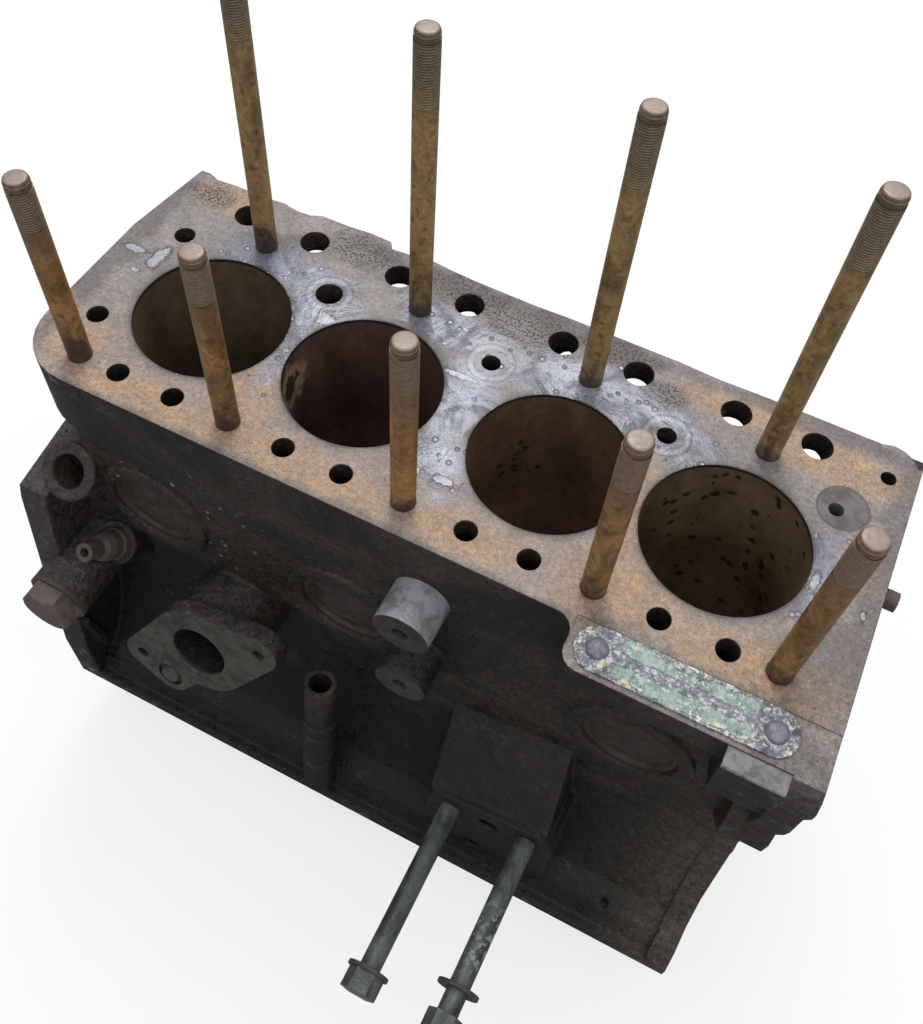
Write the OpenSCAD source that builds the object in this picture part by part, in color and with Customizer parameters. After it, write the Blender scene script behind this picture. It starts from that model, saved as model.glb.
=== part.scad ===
// Cast-iron block of a small four-cylinder in-line engine with overhead valves.
// The frame: deck face on z = 0, middle of the bore line at the origin, X along the
// crankshaft towards the timing end, Y towards the camshaft side.

/* [Cylinders] */
// Diameter of each cylinder bore
bore_d = 64.6; // [60:0.1:70]
// Metal between the two bores of a pair
bore_gap = 6; // [4:0.5:12]
// Metal between the two middle bores
mid_gap = 16.8; // [12:0.2:30]
// Length of each barrel below the deck face
barrel_len = 138; // [125:1:145]
// Wall of each barrel in the water space
barrel_wall = 5; // [3:0.5:7]

/* [Casting] */
// Deck face to the crankshaft centre
deck_height = 222; // [210:1:240]
// Crankshaft centre to the sump rail
rail_drop = 7; // [4:0.5:12]
// Outer bore edge to each end face
end_land = 26.9; // [24:0.1:34]
// Bore edge to the wall on the distributor side
near_land = 23.7; // [22:0.1:30]
// Bore edge to the wall on the camshaft side
far_land = 38.7; // [36:0.1:50]
// Half width over the sump rails
rail_half = 93; // [90:0.5:104]
// General wall of the casting
wall = 6; // [4.5:0.25:7.5]
// Thickness of the deck
deck_t = 11; // [9:0.5:14]
// Depth of the water space below the deck face
jacket_depth = 94; // [88:1:98]
// Thickness of the crankcase roof under the water space
roof_t = 8; // [6:0.5:10]
// Height and width of the sump rail flange
rail_flange = [8, 5];
// Depth of the recess above the flange at the clutch end
rear_recess = 10.5; // [6:0.5:14]
// Thickness of the flange at the clutch end
rear_flange_t = 14; // [10:0.5:18]
// Thickness of the flange at the timing end
front_flange_t = 11; // [9:0.5:16]
// Thickness of the middle main bearing wall
centre_wall_t = 28; // [22:1:34]
// Thickness of the two end main bearing walls
end_wall_t = 27; // [22:1:30]

/* [Bearings] */
// Diameter of the main bearing housings
main_d = 48.4; // [44:0.2:54]
// Camshaft centre out from the bore line
cam_out = 58; // [54:0.5:62]
// Camshaft centre above the crankshaft centre
cam_up = 98; // [94:0.5:102]
// Camshaft journal diameters at the front, middle and rear
cam_journal_d = [42.3, 41.3, 35];
// Wall of the camshaft bearing liners
liner_t = 1.6; // [1:0.1:2.4]
// Diameter of the tappet bores
tappet_d = 20.6; // [18:0.1:22]
// Depth of the main bearing caps below the crankshaft centre
cap_depth = 42; // [38:0.5:50]
// Distance between the two bolts of a main bearing cap
cap_bolt_gap = 84; // [80:0.5:88]
// Diameter of the main bearing cap bolts
cap_bolt_d = 11; // [9.5:0.1:12.5]

/* [Studs and bolts] */
// Diameter of the cylinder head studs
stud_d = 9.5; // [8:0.1:11]
// Free length of the four studs on the camshaft side
long_stud_h = 132; // [110:1:150]
// Free length of the five studs on the distributor side
short_stud_h = 90; // [70:1:110]
// Depth of the studs in the block
stud_depth = 26; // [18:1:32]
// Diameter of the two oil filter bolts
filter_bolt_d = 9.5; // [8:0.1:11]
// Free length of the oil filter bolts
filter_bolt_len = 79; // [60:1:110]
// Width across flats of the oil filter bolt heads
filter_bolt_af = 14.2; // [13:0.1:17]

/* [Deck] */
// Diameter of the pushrod holes
pushrod_d = 12.7; // [10:0.1:14]
// Pushrod row out from the bore line
pushrod_out = 57.1; // [55:0.1:60]
// Diameter of the water holes by the distributor side
water_hole_d = 9; // [7:0.1:11]
// Diameter of the turned plug at the timing end of the deck
deck_plug_d = 19.5; // [16:0.1:22]

/* [Side fittings] */
// Diameter of the core plugs
core_plug_d = 41.3; // [36:0.1:44]
// Width of the raised rim round a core plug
core_rim = 6.5; // [5:0.5:9]
// Length and width of the number plate
plate_size = [80, 17.5];
// Thickness of the number plate
plate_t = 0.9; // [0.6:0.1:1.4]
// Distance between the drive screws of the plate
plate_screw_gap = 64; // [56:0.5:68]
// Diameter of the distributor seat
seat_d = 27; // [24:0.1:30]
// Upward tilt of the distributor seat
seat_tilt = 15; // [10:0.5:20]
// Diameter of the dipstick boss
dipstick_boss_d = 14.5; // [13:0.1:20]
// Diameter of the bracket bosses
bracket_boss_d = 24; // [20:0.1:28]
// Distance between the bracket bosses
bracket_boss_gap = 47.9; // [42:0.1:54]
// Width across flats of the relief valve cap
relief_af = 24; // [22:0.1:27]
// Upward tilt of the drain tap and of the oil port beside it
port_tilt = 45; // [35:1:55]

/* [Hidden] */
$fn = 48;

// Colours of the metals
iron = [0.20, 0.18, 0.16];
rusty_steel = [0.45, 0.33, 0.18];
plug_rust = [0.38, 0.22, 0.16];
plate_green = [0.45, 0.58, 0.48];
grey_steel = [0.50, 0.50, 0.50];
white_metal = [0.66, 0.66, 0.68];
bolt_green = [0.33, 0.38, 0.36];

// Clearances
fit = 0.05;
slide_fit = 0.3;
through = 1;

// Bore line
bore_r = bore_d / 2;
inner_x = (bore_d + mid_gap) / 2;
outer_x = inner_x + bore_d + bore_gap;
pair_x = (inner_x + outer_x) / 2;
bore_xs = [-outer_x, -inner_x, inner_x, outer_x];
half = outer_x + bore_r + end_land;
barrel_r = bore_r + barrel_wall;

// Walls
rear_x = rear_recess - half;
near_y = bore_r + near_land;
far_y = bore_r + far_land;
rail_z = -deck_height - rail_drop;
rail_top = rail_z + rail_flange[0];
rail_in = rail_half - rail_flange[1] - wall;
rear_lip = [30, 33];
rear_flange_top = -60;
main_z = -deck_height;
jacket_z = -jacket_depth;
roof_z = jacket_z - roof_t;
waist_y = near_y - 5;
waist_top = roof_z - 14;
waist_low = waist_top - 21;
skirt_y = rail_half - rail_flange[1];
// Near side of the crankcase, curved round the crank: shares of the way out to the skirt's
// foot and down to the sump rail
skirt_curve = [[0, 0.04], [0.1, 0.21], [0.22, 0.42], [0.33, 0.6], [0.57, 0.79], [0.84, 0.88], [1, 1]];
function skirt(y0, y1) = [for (s = skirt_curve)
    [y0 + s[0] * (y1 - y0), waist_low + s[1] * (rail_top - waist_low)]];

// Bays between the main bearing walls
bay_in = centre_wall_t / 2;
bay_out = half - end_wall_t;

// Pushrods: steps along X from the bore centre, outwards and towards the other bore of the pair
pushrod_wide = 19.1;
pushrod_narrow = 14.4;

// Camshaft bearings: start and end along X at the timing end, the middle and the clutch end
cam_x0 = [bay_out, -bay_in, -half];
cam_x1 = [half, bay_in, -bay_out];

// Camshaft side
cam_z = cam_up - deck_height;
lobe_clear_r = cam_journal_d[0] / 2 + 0.9;
cam_wall_y = cam_out + cam_journal_d[0] / 2 + liner_t + wall;
shelf_z = cam_z + lobe_clear_r + wall;
chest_in = pushrod_out - pushrod_d / 2 - 0.8;
window_top = -20;
window_lip = 4;
chest_floor = roof_z + 16;
chest_end = outer_x + pushrod_wide + tappet_d / 2 + 1.5;
chest_r = 9;
window_land = 1.5;

// Studs: the near row stands between the bores, the far row behind them
near_stud_y = -(bore_r + 9.7);
far_stud_y = bore_r + 12.7;
near_stud_xs = [-outer_x - 33.6, -pair_x, 0, pair_x, outer_x + 33.6];
far_stud_xs = [-outer_x - 2.4, -inner_x + 1.9, inner_x - 1.9, outer_x + 2.4];
stud_boss_r = stud_d / 2 + 4.5;
stud_tip = 1.2;
stud_root_d = stud_d - 0.6;
stud_recess = 2;

// Holes through the deck
pushrod_xs = [for (s = [-1, 1]) for (x = [
    inner_x - pushrod_wide, inner_x + pushrod_narrow,
    outer_x - pushrod_narrow, outer_x + pushrod_wide]) s * x];
water_xs = [for (s = [-1, 1]) for (x = [
    inner_x - 14.7, inner_x + 10.5, outer_x - 10.2, outer_x + 15.2]) s * x];
water_y = near_stud_y - 0.5;
// Odd holes: place and diameter
steam_holes = [[-pair_x, 33.8, 11.5], [0, 33, 8], [pair_x, 33.2, 8]];
end_holes = [[22.8 - half, 33.1, 9], [18.4 - half, -21.7, 9], [half - 11.3, 55.4, 6.2]];
deck_plug_at = [half - 23.5, 33.5];
deck_plug_h = 8;
deck_plug_hole = [-2.2, -1.8, 6];

// Number plate pad, and the machined block beside the timing flange
pad_x0 = half - 95;
pad_y = near_y + 18;
pad_step_x = half - 31;
flange_edge_y = pad_y + 7.5;
front_lobe_t = 18;
plate_at = [half - 52.3, -(pad_y - 2) + plate_size[1] / 2];
pad_drop = 0.3;
pad_edge_y = plate_at[1] + plate_size[1] / 2 + 0.4;

// Core plugs: place along X and depth below the deck
core_plugs = [[55 - half, -73], [-20, -80], [half - 60, -78]];
core_depth = 5;
core_rim_h = 2;
core_ledge = 2.5;

// Main bearing caps
cap_half_w = cap_bolt_gap / 2 + 11;
cap_flat_half = cap_bolt_gap / 2 - 12;
cap_shoulder = 26;
cap_step = 9.5;
cap_t = [end_wall_t - 2, centre_wall_t - 2, end_wall_t - 2];
cap_x = [half - end_wall_t / 2 - 0.5, 0, end_wall_t / 2 + 0.5 - half];
cap_bolt_depth = 34;
lock_t = 1.5;
cap_head_h = 8;
cap_head_af = 16;

// Side fittings
filter_pad_y = -(rail_half - 8);
filter_bolts_at = [[49.3, rail_z + 58.3], [87.1, rail_z + 64.9]];
filter_pad_r = 12;
filter_pad_drop = 36;
filter_pad_rise = 38;
filter_pad_len = norm(filter_bolts_at[1] - filter_bolts_at[0]);
filter_pad_turn = asin((filter_bolts_at[1][1] - filter_bolts_at[0][1]) / filter_pad_len);
// Oil holes of the pad: X, Z and diameter
filter_oil_holes = [[68.6, rail_z + 60, 11], [62, rail_z + 21, 10]];
filter_bolt_in = 20;
skirt_hole = [half - 38.6, -rail_half, rail_z + 18.3];
filter_washer = [19, 1.6];
filter_head_h = 9;
bracket_x = 16;
bracket_top_z = -37.5;
bracket_y = -(near_y + 18);
seat_at = [-76.3, -(near_y + 35), roof_z - 13.1];
seat_ears = [[-30.5, -21.1], [30, 18.4]];
seat_plug_at = [-15.4, -27.3];
seat_plug_d = 13;
seat_flange_t = 9;
dipstick_at = [-21.4, -(rail_half - 15), roof_z - 14.2];
dipstick_tilt = 6.6;
dipstick_len = dipstick_at[2] - rail_top - 8;
dipstick_neck = 32;
dipstick_hole_d = 10.2;
port_at = [20.6 - half, -(near_y + 9.2), rear_flange_top + 3.4];
port_hole_d = 15.6;
port_rim = 5.2;
port_len = 32;
tap_at = [29 - half, -(near_y + 7.2), roof_z - 11.4];
tap_len = 24;
tap_in = 8;
tap_root_r = 4.8;
tap_collar_r = 7.8;
tap_boss = [21, 24];
relief_at = [18.8 - half, -(rail_half + 1), roof_z - 20.4];
relief_boss_r = relief_af / 2 + 2.4;
relief_bore_d = 12;
relief_bore_depth = 34;
relief_boss_len = 44;
relief_washer_t = 2.2;
relief_hex_h = 9.5;
relief_shank = 15;
gallery_y = -(waist_y - 8);
gallery_rib_d = 21;
gallery_z = waist_low - 8;
gallery_d = 11;
gallery_plug_d = 15;
gallery_plug_h = 9;

// End faces
pump_stud_d = 8;
pump_z = -47;
pump_hole_gap = [40, 46];
pump_holes = [for (sy = [-1, 1]) for (sz = [1, -1])
    [sy * pump_hole_gap[0] / 2, pump_z + sz * pump_hole_gap[1] / 2]];
pump_stud_out = 9.5;
pump_inlet_d = 34;
// Tapping size of the bracket, end face and sump holes
tapped_d = 6.8;
// Tapped holes of the timing end face and of the clutch end face: Y and Z
front_holes = [[-72, rail_z + 13], [72, rail_z + 13], [-46, rail_z + 66], [78, rail_z + 61],
    [30, rail_z + 79], [far_y - 7, -24]];
rear_holes = [[-82, rail_z + 17], [82, rail_z + 17], [-62, rail_z + 71], [84, rail_z + 66],
    [26, rail_z + 84], [far_y - 12, -30]];
end_hole_depth = 18;
// Sump screws along each rail
rail_screws = 8;
rail_screw_pitch = (2 * half - 18) / (rail_screws - 1);
rail_screw_y = rail_half - 6;

// Solid between x0 and x1 whose section is drawn as Y across and Z up
module along_x(x0, x1) {
    translate([x0, 0, 0]) rotate([90, 0, 90]) linear_extrude(x1 - x0) children();
}

// Places children at a point with their Z axis out of the near side, tilted up
module out_near(at, tilt = 0) {
    translate(at) rotate([90 - tilt, 0, 0]) children();
}

// Points of an arc about c
function arc(c, r, a0, a1, n = 6) =
    [for (i = [0:n]) c + r * [cos(a0 + (a1 - a0) * i / n), sin(a0 + (a1 - a0) * i / n)]];

// Box with rounded corners drawn flat, from one corner to the other
module round_box(low, high, r) {
    polygon(concat(
        arc([low[0] + r, low[1] + r], r, 180, 270), arc([high[0] - r, low[1] + r], r, 270, 360),
        arc([high[0] - r, high[1] - r], r, 0, 90), arc([low[0] + r, high[1] - r], r, 90, 180)));
}

// Water jacket seen from above, under the deck
module jacket_outline() {
    rear_r = 20;
    polygon(concat(
        arc([rear_x + rear_r, rear_r - near_y], rear_r, 180, 270, 8),
        [[half, -near_y], [half, far_y], [rear_x, far_y]]));
}

// Deck seen from above, with the number plate pad and the chipped far edge
module deck_outline() {
    rear_r = 26;
    lip_r = 7;
    // Uneven far edge: share of the half length and rise from the far wall
    far_edge = [[0.9, -0.4], [0.62, -0.3], [0.5, -0.8], [0.4, 0], [0.1, -0.1], [0.02, -0.7],
        [-0.15, -0.4], [-0.22, 0.3], [-0.27, 1.2], [-0.33, -0.2], [-0.385, -1], [-0.4, 2.6],
        [-0.46, 2.9], [-0.52, 1.9], [-0.6, 1.8], [-0.63, -0.6], [-0.67, -1], [-0.71, 0.4],
        [-0.76, -0.6], [-0.86, -0.6], [-0.91, -1.4], [-0.94, 0.6], [-0.967, 0.4]];
    polygon(concat(
        [[-half, far_y - 43]],
        arc([rear_r - half, rear_r - near_y], rear_r, 180, 270, 8),
        arc([pad_x0 - lip_r, -near_y - lip_r], lip_r, 90, 0, 4),
        arc([pad_x0 + lip_r, lip_r - pad_y], lip_r, 180, 270, 4),
        arc([half - 3, 3 - pad_y], 3, 270, 360, 2),
        arc([half - 13, far_y - 12], 13, 0, 90, 4),
        [for (e = far_edge) [e[0] * half, far_y + e[1]]]));
}

// Section of the crankcase below the water jacket
module crankcase_section() {
    polygon(concat(
        [[-near_y, roof_z + 8], [-near_y, roof_z - 2], [-waist_y, waist_top]],
        skirt(-waist_y, -skirt_y),
        [[-rail_half, rail_top], [-rail_half, rail_z], [rail_half, rail_z],
            [rail_half, rail_top], [skirt_y, rail_top], [cam_wall_y, cam_z - 26],
            [cam_wall_y, shelf_z - 6], [far_y, shelf_z + 4]]));
}

// Inside of a crankcase bay
module bay_section() {
    polygon(concat(
        [[-waist_y + wall, roof_z]],
        skirt(-waist_y + wall, -rail_in),
        [[-rail_in, rail_z - through], [rail_in, rail_z - through], [rail_in, rail_top],
            [cam_wall_y - wall, cam_z - 26], [cam_wall_y - wall, roof_z]]));
}

// Flange at the clutch end, standing out beyond the crankcase
module rear_flange_section() {
    polygon([
        [-near_y + 13, rear_flange_top], [-near_y - 20, rear_flange_top - 7],
        [-near_y - 22, rear_flange_top - 14], [-rail_half + 8, cam_z - 1],
        [-rail_half, main_z + 31], [-rail_half, rail_z], [rail_half, rail_z],
        [rail_half, cam_z + 24], [far_y + 3, rear_flange_top - 14],
        [far_y - 8, rear_flange_top]]);
}

// Flange at the timing end, with its scalloped edge
module front_flange_section() {
    polygon(concat(
        [[-pad_y, 0], [-pad_y - 4.5, -1.2], [-flange_edge_y, -4.5], [-flange_edge_y, -9],
            [-pad_y - 3.4, -22], [-pad_y - 3.4, -37], [-pad_y - 1.5, -46], [-pad_y + 3.3, -61],
            [-near_y + 1.5, roof_z], [-waist_y, waist_top]],
        skirt(-waist_y, -rail_half),
        [[-rail_half, rail_z], [rail_half, rail_z], [cam_wall_y + 3, cam_z - 26],
            [cam_wall_y + 3, cam_z + 24], [far_y + 1, shelf_z + 17], [far_y + 1, -3],
            [far_y - 6, 0]]));
}

// Thick lobe low on the timing flange
module front_lobe_section() {
    polygon([
        [-near_y, -52], [-pad_y + 3.3, -60], [-pad_y + 0.5, -67], [-pad_y + 1.5, -78],
        [-near_y, roof_z - 4]]);
}

// Ledge that carries the number plate, cut to the pad's own outline
module plate_pad() {
    intersection() {
        translate([0, 0, -60]) linear_extrude(60) deck_outline();
        union() {
            along_x(pad_x0, half) polygon([
                [-near_y + 6, 0], [-pad_y, 0], [-pad_y, -13], [-near_y - 2, -48],
                [-near_y + 6, -52]]);
            along_x(pad_step_x, half) polygon([
                [-near_y + 6, 0], [-pad_y, 0], [-pad_y, -42], [-near_y, -60],
                [-near_y + 6, -60]]);
        }
    }
    // Machined block beside the timing flange
    along_x(pad_step_x - 2, half - front_flange_t) polygon([
        [-near_y, -1], [-pad_y + 0.5, -1], [-flange_edge_y + 0.5, -2], [-flange_edge_y, -2.8],
        [-flange_edge_y, -17.5], [-near_y, -42]]);
}

// Raised rims, bosses and pads of the distributor side
module near_bosses() {
    for (p = core_plugs)
        translate([p[0], -near_y + wall, p[1]]) rotate([90, 0, 0])
            cylinder(r = core_plug_d / 2 + core_rim, h = wall + core_rim_h);
    for (k = [0, 1])
        translate([bracket_x, -near_y + wall, bracket_top_z - k * bracket_boss_gap])
            rotate([90, 0, 0]) cylinder(d = bracket_boss_d - k, h = wall - bracket_y - near_y);
    // Dipstick boss standing on the skirt
    translate(dipstick_at) rotate([-dipstick_tilt, 0, 0]) {
        translate([0, 0, -dipstick_len]) cylinder(d = dipstick_boss_d, h = dipstick_len);
        translate([0, 0, -dipstick_len])
            cylinder(d = dipstick_boss_d + 2, h = dipstick_len - dipstick_neck);
    }
    // Distributor neck and flange
    out_near(seat_at, seat_tilt) {
        translate([0, 0, -56]) cylinder(d = seat_d + 16, h = 56);
        translate([0, 0, -seat_flange_t]) linear_extrude(seat_flange_t) {
            hull() {
                circle(r = seat_d / 2 + 10);
                for (e = seat_ears) translate(e) circle(r = 9);
            }
            hull() {
                translate(seat_ears[0]) circle(r = 9);
                translate(seat_plug_at) circle(r = seat_plug_d / 2 + 3.5);
                circle(r = seat_d / 2);
            }
        }
    }
    // Oil filter pad
    translate([0, -waist_y + wall, 0]) rotate([90, 0, 0])
        linear_extrude(-filter_pad_y - waist_y + wall) hull() for (b = filter_bolts_at) {
            translate(b) circle(r = filter_pad_r);
            translate([b[0], filter_bolts_at[0][1] - filter_pad_drop]) circle(r = filter_pad_r);
        }
    // Slope that blends the top of the pad into the wall above it
    translate([filter_bolts_at[0][0], 0, filter_bolts_at[0][1]]) rotate([0, -filter_pad_turn, 0])
        along_x(2 - filter_pad_r, filter_pad_len + filter_pad_r - 2) polygon([
            [-waist_y + wall, 0], [-waist_y + wall, filter_pad_rise],
            [-waist_y, filter_pad_rise - 2], [filter_pad_y + 2, filter_pad_r - 1.5],
            [filter_pad_y + 2, 0]]);
    // Oil port and drain tap bosses
    out_near(port_at, port_tilt) translate([0, 0, -port_len])
        cylinder(d = port_hole_d + 2 * port_rim, h = port_len);
    out_near(tap_at, port_tilt) translate([0, 0, -tap_boss[1]])
        cylinder(d = tap_boss[0], h = tap_boss[1]);
    // Relief valve boss
    out_near(relief_at) translate([0, 0, -relief_boss_len])
        cylinder(r = relief_boss_r, h = relief_boss_len);
    // Small lug on the inner face of the clutch flange
    along_x(rear_flange_t - half - 1, rear_flange_t - half + 3.5) translate([-rail_half, rail_z])
        polygon([[4, 63], [7, 65], [13.5, 32], [9, 30]]);
    // Gallery rib inside the skirt
    along_x(-half, half) translate([gallery_y, gallery_z]) circle(d = gallery_rib_d);
}

// Water space between the deck, the barrels and the outer walls
module water_space() {
    difference() {
        along_x(-half + end_wall_t - 8, half - wall - 3) round_box(
            [-near_y + wall, jacket_z], [chest_in - wall, -deck_t], 4);
        for (x = bore_xs)
            translate([x, 0, jacket_z - through]) cylinder(r = barrel_r, h = jacket_depth);
        for (x = near_stud_xs)
            translate([x, near_stud_y, jacket_z - through])
                cylinder(r = stud_boss_r, h = jacket_depth);
        for (x = far_stud_xs)
            translate([x, far_stud_y, jacket_z - through])
                cylinder(r = stud_boss_r, h = jacket_depth);
    }
}

// Crankcase bays, with the barrels left standing in them
module crank_bays() {
    difference() {
        for (x = [-bay_out, bay_in]) along_x(x, x + bay_out - bay_in) bay_section();
        for (x = bore_xs)
            translate([x, 0, -barrel_len]) cylinder(r = barrel_r, h = barrel_len);
        // Oil gallery rib
        along_x(-half, half) translate([gallery_y, gallery_z]) circle(d = gallery_rib_d);
    }
}

// Span of the tappet chest on one side of the middle wall
function chest_span(s) = s > 0 ? [bay_in - 2, chest_end] : [-chest_end, 2 - bay_in];

// Rounded slot along Y: a flat shape drawn as X across and Z up
module along_y(y0, y1) {
    translate([0, y1, 0]) rotate([90, 0, 0]) linear_extrude(y1 - y0) children();
}

// Tappet chests with their windows, tappet bores and pushrod holes
module tappet_chests() {
    for (s = [-1, 1]) {
        a = chest_span(s)[0];
        b = chest_span(s)[1];
        difference() {
            along_y(chest_in, far_y - wall)
                round_box([a, chest_floor], [b, -deck_t], chest_r);
            for (x = far_stud_xs)
                translate([x, far_stud_y, chest_floor]) cylinder(r = stud_boss_r, h = -chest_floor);
        }
        along_y(far_y - wall - 1, far_y + 6) round_box(
            [a + window_lip, chest_floor + window_lip], [b - window_lip, window_top], chest_r);
    }
    for (x = pushrod_xs) {
        translate([x, pushrod_out, -deck_t - 1]) cylinder(d = pushrod_d, h = deck_t + 2);
        translate([x, cam_out, roof_z - 1]) cylinder(d = tappet_d, h = chest_floor - roof_z + 2);
    }
}

// Joint faces round the tappet chest windows
module window_rims() {
    for (s = [-1, 1])
        along_y(far_y - 2, far_y + window_land) round_box(
            [chest_span(s)[0] - 2, chest_floor - 4], [chest_span(s)[1] + 2, window_top + 6],
            chest_r + 4);
}

// Tapped hole of a stud, opened out at the deck face
module stud_hole() {
    translate([0, 0, -stud_depth - 4]) cylinder(d = stud_root_d + 2 * fit, h = stud_depth + 4);
    translate([0, 0, -stud_recess]) cylinder(d = stud_d + 2 * fit, h = stud_recess + 1);
}

// Holes drilled from the deck face
module deck_holes() {
    for (x = water_xs)
        translate([x, water_y, -deck_t - 3]) cylinder(d = water_hole_d, h = deck_t + 4);
    for (h = steam_holes)
        translate([h[0], h[1], -deck_t - 3]) cylinder(d = h[2], h = deck_t + 4);
    for (h = end_holes)
        translate([h[0], h[1], -24]) cylinder(d = h[2], h = 25);
    for (x = near_stud_xs) translate([x, near_stud_y, 0]) stud_hole();
    for (x = far_stud_xs) translate([x, far_stud_y, 0]) stud_hole();
    translate([deck_plug_at[0], deck_plug_at[1], -deck_plug_h])
        cylinder(d = deck_plug_d + 2 * fit, h = deck_plug_h + 1);
    translate([deck_plug_at[0] + deck_plug_hole[0], deck_plug_at[1] + deck_plug_hole[1], -22])
        cylinder(d = deck_plug_hole[2], h = 22);
}

// Holes drilled from the distributor side
module near_holes() {
    for (p = core_plugs) translate([p[0], 0, p[1]]) rotate([90, 0, 0]) {
        translate([0, 0, near_y - wall - 1])
            cylinder(d = core_plug_d - 2 * core_ledge, h = wall + core_rim_h + 2);
        translate([0, 0, near_y + core_rim_h - core_depth])
            cylinder(d = core_plug_d + 2 * fit, h = core_depth + 1);
    }
    for (k = [0, 1])
        translate([bracket_x, bracket_y - 1, bracket_top_z - k * bracket_boss_gap])
            rotate([-90, 0, 0]) cylinder(d = tapped_d, h = 20);
    translate(dipstick_at) rotate([-dipstick_tilt, 0, 0])
        translate([0, 0, 6 - dipstick_len]) cylinder(d = dipstick_hole_d, h = dipstick_len);
    out_near(seat_at, seat_tilt) {
        translate([0, 0, -72]) cylinder(d = seat_d, h = 73);
        for (e = seat_ears) translate([e[0], e[1], -16]) cylinder(d = 5.6, h = 17);
        translate([seat_plug_at[0], seat_plug_at[1], -6])
            cylinder(d = seat_plug_d + 2 * fit, h = 7);
    }
    for (b = filter_bolts_at)
        translate([b[0], filter_pad_y - 1, b[1]]) rotate([-90, 0, 0])
            cylinder(d = filter_bolt_d + 2 * fit, h = filter_bolt_in + 2);
    for (h = filter_oil_holes) translate([h[0], filter_pad_y - 1, h[1]])
        rotate([-90, 0, 0]) cylinder(d = h[2], h = filter_bolt_in - 1);
    out_near(port_at, port_tilt) translate([0, 0, 8 - port_len])
        cylinder(d = port_hole_d, h = port_len);
    out_near(tap_at, port_tilt) {
        translate([0, 0, -tap_in - 2]) cylinder(r = tap_root_r + fit, h = tap_in + 3);
        cylinder(r = tap_collar_r + slide_fit, h = 14);
    }
    out_near(relief_at) translate([0, 0, -relief_bore_depth])
        cylinder(d = relief_bore_d, h = relief_bore_depth + 1);
    translate(skirt_hole) rotate([-90, 0, 0]) cylinder(d = 4.6, h = 16);
}

// Bearing tunnels, galleries and the notches of the main bearing caps
module tunnels() {
    along_x(-half - 1, half + 1) translate([0, main_z]) circle(d = main_d);
    for (i = [0:2]) translate([cap_x[i], 0, main_z]) {
        translate([-cap_t[i] / 2 - 3, -cap_half_w - fit, -rail_drop - 1])
            cube([cap_t[i] + 6, 2 * (cap_half_w + fit), rail_drop + 1]);
        for (s = [-1, 1]) translate([0, s * cap_bolt_gap / 2, -1])
            cylinder(d = cap_bolt_d + 2 * fit, h = cap_bolt_depth + 3);
    }
    for (i = [0:2]) along_x(cam_x0[i] - 1, cam_x1[i] + 1)
        translate([cam_out, cam_z]) circle(d = cam_journal_d[i] + 2 * (liner_t + fit));
    along_x(-half - 1, half + 1) translate([gallery_y, gallery_z]) circle(d = gallery_d);
    for (x = [-half - 1, half - gallery_plug_h]) along_x(x, x + gallery_plug_h + 1)
        translate([gallery_y, gallery_z]) circle(d = gallery_plug_d + 2 * fit);
}

// Number plate pad, machined a little lower than the deck face
module pad_cut() {
    translate([pad_x0, -pad_y - 10, -pad_drop])
        cube([half - pad_x0 + 1, pad_y + 10 + pad_edge_y, pad_drop + 1]);
}

// Holes of the two end faces and of the sump rails
module end_and_rail_holes() {
    for (h = pump_holes) along_x(half - end_hole_depth, half + 1)
        translate(h) circle(d = pump_stud_d + 2 * fit);
    along_x(half - wall - 4, half + 1) translate([0, pump_z]) circle(d = pump_inlet_d);
    for (p = front_holes)
        along_x(half - end_hole_depth, half + 1) translate(p) circle(d = tapped_d);
    for (p = rear_holes)
        along_x(-half - 1, end_hole_depth - half) translate(p) circle(d = tapped_d);
    for (s = [-1, 1]) for (i = [0:rail_screws - 1])
        translate([(i - (rail_screws - 1) / 2) * rail_screw_pitch, s * rail_screw_y, rail_z - 1])
            cylinder(d = tapped_d, h = rail_flange[0] - 1);
}

// The casting
module engine_block() {
    color(iron) difference() {
        union() {
            translate([0, 0, -deck_t]) linear_extrude(deck_t) deck_outline();
            intersection() {
                translate([0, 0, -rear_lip[1]]) linear_extrude(rear_lip[1]) deck_outline();
                translate([-half, -near_y, -rear_lip[1]])
                    cube([rear_lip[0], near_y + far_y, rear_lip[1]]);
            }
            translate([0, 0, roof_z]) linear_extrude(-roof_z - deck_t + 1) jacket_outline();
            along_x(rear_x, half) crankcase_section();
            along_x(-half, rear_flange_t - half) rear_flange_section();
            along_x(half - front_flange_t, half) front_flange_section();
            along_x(half - front_lobe_t, half) front_lobe_section();
            plate_pad();
            window_rims();
            near_bosses();
        }
        crank_bays();
        tappet_chests();
        water_space();
        for (x = bore_xs)
            translate([x, 0, -barrel_len - 1]) cylinder(d = bore_d, h = barrel_len + 2, $fn = 96);
        deck_holes();
        pad_cut();
        near_holes();
        tunnels();
        end_and_rail_holes();
    }
}

// A stud with a chamfered tip and a threaded end in the block
module stud(h) {
    translate([0, 0, -stud_depth]) cylinder(d = stud_root_d, h = stud_depth);
    cylinder(d = stud_d, h = h - stud_tip);
    translate([0, 0, h - stud_tip]) cylinder(d1 = stud_d, d2 = stud_d - 2 * stud_tip, h = stud_tip);
}

module long_head_studs() {
    color(rusty_steel) for (x = far_stud_xs) translate([x, far_stud_y, 0]) stud(long_stud_h);
}

module short_head_studs() {
    color(rusty_steel) for (x = near_stud_xs) translate([x, near_stud_y, 0]) stud(short_stud_h);
}

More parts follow.
